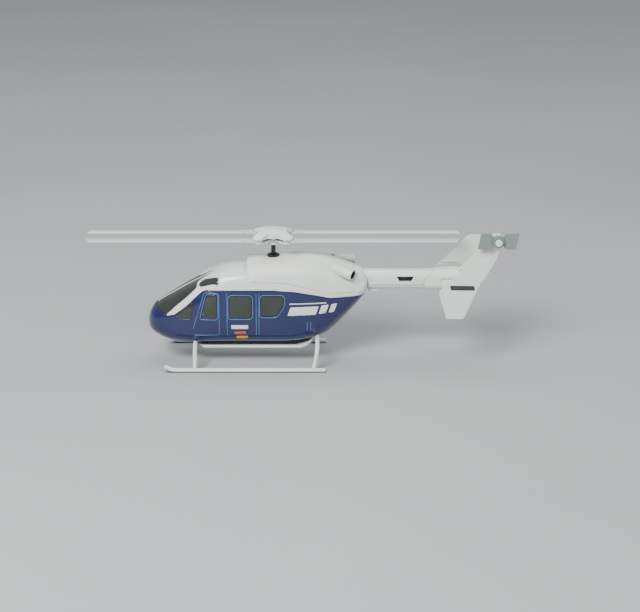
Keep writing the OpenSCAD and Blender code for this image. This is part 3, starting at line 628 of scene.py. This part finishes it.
nose_run, tail_run = cabin.run_at(POST_FRONT), cabin.runs[-1]
keel_end = cabin.girth_at(tail_run)
eyebrow_zone = zone(EYEBROW, (above, eyebrow_plan + eyebrow_plan[:1]), soft=3)
pane_zones = {name: zone(SIDE_PANE, (aside, o + o[:1]), soft=4) for name, o in windows.items()}
zones = [               # a later zone covers an earlier one
    zone(ROOF,
         (as_given, [(nose_run, -BEYOND), (nose_run, 1.6)]),
         (above, [(-64.0, -4.0), (-60.0, -9.0)]),
         (aside, colour_line),
         (as_given, [(tail_run, keel_end + BEYOND), (tail_run + BEYOND, keel_end + BEYOND),
                     (tail_run + BEYOND, -BEYOND)]), soft=0),
    eyebrow_zone,
    zone(SCREEN,
         (above, [(-67.4, -0.8), (-66.6, -5.0), (-64.8, -8.6)]),
         (aside, [(-61.4, 29.9), (-58.1, 33.0), (-55.3, 35.7), (-50.5, 39.7), (-47.2, 42.6), (-44.4, 44.9)]),
         (above, [(-43.2, -10.6), (-43.4, -7.5), (-42.2, -4.5), (-38.0, -2.8), (-33.2, -0.8)]), soft=4),
    zone(HIDDEN, past_keel(BASE_FRONT), (below, base_plan), past_keel(BASE_BACK)),
    *pane_zones.values(),
]


def cabin_label(run, down):
    """What each spot of the cabin's skin is."""
    marks = np.full(len(run), SHELL)
    for mark, loop in zones:
        marks[inside(loop, run, down)] = mark
    return marks


def on_skin(loop):
    """The stretches of a loop that lie on the port half of the cabin."""
    kept, stretch = [], []
    for run, down in loop + loop[:1]:
        if 0 <= down <= cabin.girth_at(run) and 0 <= run <= tail_run:
            stretch.append((run, down))
        else:
            kept.append(stretch)
            stretch = []
    kept.append(stretch)
    return [(k, False) for k in kept if len(k) > 1]


cabin_cut = cut_up(cabin, [piece for _, loop in zones for piece in on_skin(loop)], cabin_label)


def pane(name, mark, node, sides="both"):
    """A clear moulding, sunk a little below the cabin's skin."""
    corners, parts = cabin_cut
    obj = patch(name, cabin, corners, parts[mark], -PANE_SINK, PANE_LIP, sides)
    thickened(obj, PANE_T)
    finished(obj, LOOKS["glazing"], "glazing", node)


casting("lower_shell_casting", cabin, cabin_cut, SHELL, "blue_paint", "cabin_shell", 0.0, CASTING_LIP)
casting("roof_casting", cabin, cabin_cut, ROOF, "white_paint", "cabin_roof", 0.0, CASTING_LIP)
pane("windscreen_moulding", SCREEN, "windscreen")
pane("eyebrow_panes", EYEBROW, "eyebrow_windows")
for side in ("port", "starboard"):
    pane(f"side_panes_{side}", SIDE_PANE, f"side_glazing_{side}", side)


# ---------------------------------------------------------------- engine cowl

cowl = Skin([
    [-15.35, 44.0, 46.0, 54.6, 11.0, 2.8, 2.8],
    [-15.30, 40.0, 46.0, 57.4, 13.0, 2.8, 2.8],
    [-15.2, 38.0, 46.0, 58.7, 14.0, 2.8, 2.8],
    [-14.4, 37.0, 46.0, 60.1, 14.8, 2.8, 2.8],
    [-12.0, 36.0, 46.0, 60.7, 15.4, 2.9, 2.8],
    [0.0, 36.0, 46.0, 61.3, 15.4, 3.0, 2.8],
    [12.0, 36.0, 46.0, 61.9, 15.4, 3.0, 2.8],
    [21.0, 36.0, 46.0, 62.3, 15.0, 2.9, 2.8],
    [28.0, 36.0, 45.0, 61.5, 14.2, 2.8, 2.8],
    [34.0, 36.0, 45.0, 60.1, 13.4, 2.6, 2.8],
    [40.0, 37.0, 45.0, 57.9, 12.4, 2.5, 2.8],
    [46.0, 38.0, 45.0, 55.7, 10.8, 2.4, 2.8],
    [50.5, 40.0, 45.0, 53.7, 8.8, 2.3, 2.8],
    [52.3, 42.0, 46.0, 51.3, 6.8, 2.2, 2.6],
    [52.9, 43.2, 46.0, 49.6, 5.2, 2.2, 2.4],
    [53.0, 44.4, 46.0, 48.0, 3.6, 2.2, 2.4],
])
COWL_PROUD = 0.25       # how far the cowl stands above its skin
COWL_LIP = 0.2
cowl_foot = [(-20.0, 50.6), (-13.0, 50.6), (5.5, 50.0), (12.0, 49.1), (18.0, 47.2), (24.5, 45.4),
             (31.0, 43.3), (45.0, 43.3), (49.0, 44.6), (60.0, 44.6)]
foot_x, foot_z = np.array(divided(rounded(cowl_foot, 3.0, False), LINE_STEP, False)).T
HOOD, BELOW_FOOT = range(2)


def cowl_label(run, down):
    x, _, z = cowl.look_up(cowl.points, np.stack([run, down], axis=1)).T
    return np.where(z < np.interp(x, foot_x, foot_z), BELOW_FOOT, HOOD)


def foot_line():
    """The cowl's foot, row by row, so that it also crosses the flat front and back."""
    line = []
    for run in np.arange(0, cowl.runs[-1], LINE_STEP):
        row, down = cowl.row_at(run)
        line.append((run, float(np.interp(-np.interp(row[0, 0], foot_x, foot_z), -row[:, 2], down))))
    return line, False


cowl_cut = cut_up(cowl, [foot_line()], cowl_label)
casting("engine_cowl_casting", cowl, cowl_cut, HOOD, "white_plastic", "engine_cowl", COWL_PROUD, COWL_LIP)


# ---------------------------------------------------------------- lines and bands on the skins


def bead(name, skin, lines, width, height, material, slot):
    """A raised half-round line along each line, on both sides."""
    bm = bmesh.new()
    profile = [(-0.5, -0.3), (-0.36, 0.55), (0, 1), (0.36, 0.55), (0.5, -0.3)]
    for line, closed in lines:
        points, normals = skin.at(line)
        ahead = np.roll(points, -1, axis=0) - np.roll(points, 1, axis=0)
        if not closed:
            ahead[0], ahead[-1] = points[1] - points[0], points[-1] - points[-2]
        across = np.cross(normals, ahead)
        across /= np.linalg.norm(across, axis=1, keepdims=True)
        for side in (1, -1):
            rings = []
            for p, n, c in zip(points, normals, across):
                ring = []
                for u, v in profile:
                    q = p + c * u * width + n * (v * height)
                    ring.append(bm.verts.new(((q[0] + MAST_X) * MM, q[1] * MM * side, q[2] * MM)))
                rings.append(ring)
            pairs = list(zip(rings, rings[1:] + rings[:1])) if closed else list(zip(rings, rings[1:]))
            for a, b in pairs:
                for k in range(len(profile)):
                    j = (k + 1) % len(profile)
                    bm.faces.new((a[k], a[j], b[j], b[k]))
            if not closed:
                bm.faces.new(rings[0])
                bm.faces.new(rings[-1][::-1])
    bmesh.ops.recalc_face_normals(bm, faces=bm.faces)
    for face in bm.faces:
        face.smooth = True
    obj = mesh_object(name, bm)
    obj.data.set_sharp_from_angle(angle=math.radians(70))
    finished(obj, material, slot)


def grown(outline, by):
    """A closed outline moved outwards by a distance."""
    points = np.array(outline, float)
    ahead = np.roll(points, -1, axis=0) - np.roll(points, 1, axis=0)
    out = np.stack([ahead[:, 1], -ahead[:, 0]], axis=1)
    out /= np.maximum(np.linalg.norm(out, axis=1, keepdims=True), 1e-9)
    if np.sum((points - points.mean(axis=0)) * out) < 0:
        out = -out
    return [tuple(p) for p in points + out * by]


def side_line(*points, radius=0.0):
    return drawn(cabin.from_side, list(points), radius, False)


# the light blue of these beads is partly a painted highlight along the frames and panel lines
frame_lines = [(grown(pane_zones[name][1], by=0.75), True) for name in ("door", "middle", "rear")]
bead("window_frame_lines", cabin, frame_lines, width=0.42, height=0.12, material=FRAME_LINE_HIGHLIGHT, slot="blue_paint")

SILL, HEAD = 19.0, 44.4     # heights at which the door lines start and end
door_line = [(-45.4, 23.0), (-38.9, HEAD), (-30.6, HEAD), (-30.6, SILL), (-44.6, SILL)]
panel_lines = [side_line(*door_line, radius=1.5)]
panel_lines += [side_line((x, SILL), (x, HEAD)) for x in (-26.1, -9.6, -8.1)]
panel_lines += [side_line((x, 21.0), (x, 27.0)) for x in (19.2, 21.2)]
bead("panel_lines", cabin, panel_lines, width=0.34, height=0.09, material=FRAME_LINE_HIGHLIGHT, slot="blue_paint")

rims = [(grown(eyebrow_zone[1], by=0.4), True)]
bead("eyebrow_rims", cabin, rims, width=0.8, height=0.25, material=LOOKS["white_paint"], slot="white_paint")

INK_LIFT = 0.03         # how far print stands above the skin
INK_T = 0.04
BAR_CORNER = 0.5


def band(name, skin, outlines, material, slot):
    """Flat printed shapes, each an outline seen from the side, on both sides."""
    lines = [drawn(skin.from_side, o) for o in outlines]
    runs = [p[0] for line, _ in lines for p in line]
    span = min(runs) - 1, max(runs) + 1

    def label(run, down):
        return np.any([inside(line, run, down) for line, _ in lines], axis=0).astype(int)

    places, found = cut_up(skin, lines, label, *span)
    obj = patch(name, skin, places, found[1], INK_LIFT)
    thickened(obj, INK_T)
    finished(obj, material, slot)


def slanted(x0, x1, z0, z1, lean=0.35, rise=0.0):
    """A bar from x0 to x1 whose ends lean back, and which climbs by rise."""
    shift = (z1 - z0) * lean
    return rounded([(x0, z0), (x1, z0 + rise), (x1 + shift, z1 + rise), (x0 + shift, z1)], BAR_CORNER)


thin_bar = slanted(9.0, 30.0, 37.6, 38.3, rise=0.1)
wide_bars = [slanted(x0, x1, 31.0 + climb, 36.0 + climb, rise=0.3)
             for x0, x1, climb in ((8.0, 24.0, 0.0), (25.6, 29.6, 0.7), (31.2, 34.4, 1.1))]
band("side_bars", cabin, [thin_bar] + wide_bars, INK_WHITE, "white_paint")
band("door_stripe_upper", cabin, [slanted(-22.0, -15.4, 19.6, 21.4, 0.0)], INK_ORANGE, "white_paint")
band("door_stripe_lower", cabin, [slanted(-21.0, -14.4, 16.6, 18.4, 0.0)], INK_AMBER, "white_paint")
band("door_bar", cabin, [slanted(-23.8, -14.2, 23.0, 25.4, 0.0)], INK_WHITE, "white_paint")


PLATE_BAR_X, PLATE_BAR_Z = 99.6, 48.4       # the bar's lower front corner
PLATE_BAR_L, PLATE_BAR_H = 13.6, 2.8        # its length and height
PLATE_BAR_LEAN, PLATE_BAR_DROP = 0.6, 0.2   # how far its top leans forward, and its rear end drops


def plate_bar(node, side):
    """A thin printed bar on an endplate's outer face."""
    low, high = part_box(node)
    face = (high.y if side > 0 else low.y) / MM
    foot = [(0, 0), (PLATE_BAR_L, -PLATE_BAR_DROP)]
    head = [(PLATE_BAR_L - PLATE_BAR_LEAN, PLATE_BAR_H - PLATE_BAR_DROP), (-PLATE_BAR_LEAN, PLATE_BAR_H)]
    outline = rounded(foot + head, BAR_CORNER)
    bm = bmesh.new()
    rings = []
    for out in (-INK_T / 2, INK_T):
        y = (face + out * side) * MM
        rings.append([bm.verts.new(((PLATE_BAR_X + MAST_X + x) * MM, y, (PLATE_BAR_Z + z) * MM))
                      for x, z in outline])
    bm.faces.new(rings[0])
    bm.faces.new(rings[1][::-1])
    for i in range(len(outline)):
        j = (i + 1) % len(outline)
        bm.faces.new((rings[0][i], rings[0][j], rings[1][j], rings[1][i]))
    bmesh.ops.recalc_face_normals(bm, faces=bm.faces)
    finished(mesh_object(f"{node}_bar", bm), INK_DARK, "dark_plastic")


plate_bar("endplate_port", -1)
plate_bar("endplate_starboard", 1)


# ---------------------------------------------------------------- CAD nodes that stay

NODE_LOOKS = {          # each node's look, and its edge radius
    "base_plate": ("white_plastic", 0.25),
    "base_screws": ("steel", 0.12),
    # the exhausts and the tail boom carry painted shade in their bores and slot
    "exhaust_port": ("hollow_plastic_shaded", 0.3),
    "exhaust_starboard": ("hollow_plastic_shaded", 0.3),
    "cabin_floor": ("dark_plastic", 0.2),
    "seat_port": ("interior_plastic", 0.6),
    "seat_starboard": ("interior_plastic", 0.6),
    "rear_bench": ("interior_plastic", 0.6),
    "instrument_panel": ("dark_plastic", 0.4),
    "tail_boom": ("hollow_plastic_shaded", 0.12),
    "centre_fin": ("white_plastic", 0.35),
    "stabiliser": ("white_plastic", 0.2),
    "endplate_port": ("white_plastic", 0.3),
    "endplate_starboard": ("white_plastic", 0.3),
    "cross_tube_front": ("white_plastic", 0.1),
    "cross_tube_rear": ("white_plastic", 0.1),
    "skid_port": ("white_plastic", 0.1),
    "skid_starboard": ("white_plastic", 0.1),
    "mast_bush": ("dark_plastic", 0.15),
    "mast": ("dark_metal", 0.15),
    "hub_plate": ("white_plastic", 0.15),
    "hub_cap": ("white_plastic", 0.3),
    "blade_pins": ("steel", 0.1),
    "blade_fore_port": ("rotor_plastic", 0.15),
    "blade_aft_port": ("rotor_plastic", 0.15),
    "blade_fore_starboard": ("rotor_plastic", 0.15),
    "blade_aft_starboard": ("rotor_plastic", 0.15),
    "tail_rotor_pin": ("white_plastic", 0.2),
    "tail_rotor": ("tail_plastic", 0.15),
}


def soften(node, width):
    """Rounds a CAD node's edges without touching its own mesh."""
    obj = nodes[node]
    weld = obj.modifiers.new("weld", "WELD")
    weld.merge_threshold = 1e-6
    bevel = obj.modifiers.new("edges", "BEVEL")
    bevel.width = width * MM
    bevel.segments = 3
    bevel.limit_method = "ANGLE"
    bevel.angle_limit = math.radians(32)
    bevel.harden_normals = True
    weigh_normals(obj)


for node, (look, edge) in NODE_LOOKS.items():
    soften(node, edge)
    nodes[node].data.materials.clear()
    nodes[node].data.materials.append(LOOKS[look])


# ---------------------------------------------------------------- stage, light and camera


def floor_material():
    f = Finish("pale_floor")
    # painted shade: the floor's colour also goes darker by ambient occlusion where the skids and base plate
    # stand close to it
    f.colour(f.blend(f.ramp(f.noise(240, 2), 0.3, 0.7), linear(172, 176, 179), linear(178, 181, 183)))
    f.roughness(f.ramp(f.noise(60, 3), 0.3, 0.7, 0.55, 0.65))
    return f.material


def add_floor():
    bpy.ops.mesh.primitive_plane_add(size=9, location=(0, 0, 0))
    floor = bpy.context.object
    floor.name = "floor"
    floor.data.materials.append(floor_material())


def add_softbox(name, place, target, size, power, tone=(1, 1, 1)):
    light = bpy.data.lights.new(name, "AREA")
    light.shape = "RECTANGLE"
    light.size, light.size_y = size
    light.energy = power
    light.color = tone
    obj = bpy.data.objects.new(name, light)
    bpy.context.scene.collection.objects.link(obj)
    obj.location = place
    obj.rotation_euler = (Vector(target) - Vector(place)).to_track_quat("-Z", "Y").to_euler()


def add_lights():
    heart = (cad_box[0] + cad_box[1]) / 2
    add_softbox("key", (-0.35, -0.7, 0.75), heart, (0.45, 0.35), 15.0, (1.0, 0.99, 0.97))
    add_softbox("fill", (0.8, -0.5, 0.35), heart, (0.6, 0.6), 1.2, (0.96, 0.98, 1.0))
    add_softbox("top", (0.0, 0.25, 0.9), heart, (0.9, 0.5), 4.0)
    world = bpy.data.worlds.new("studio")
    world.use_nodes = True
    world.node_tree.nodes["Background"].inputs["Color"].default_value = (0.88, 0.9, 0.92, 1)
    world.node_tree.nodes["Background"].inputs["Strength"].default_value = 0.45
    bpy.context.scene.world = world


def add_camera():
    """A long lens from the port side, looking down a little."""
    data = bpy.data.cameras.new("camera")
    data.lens, data.sensor_width = 119.1, 36
    data.clip_start, data.clip_end = 0.05, 20
    camera = bpy.data.objects.new("camera", data)
    bpy.context.scene.collection.objects.link(camera)
    target = Vector((0.0100, 0, 0.0311))
    distance, elevation = 1.211, math.radians(19.6)
    camera.location = target + Vector((0, -math.cos(elevation), math.sin(elevation))) * distance
    camera.rotation_euler = (math.pi / 2 - elevation, 0, 0)
    bpy.context.scene.camera = camera


add_floor()
add_lights()
add_camera()
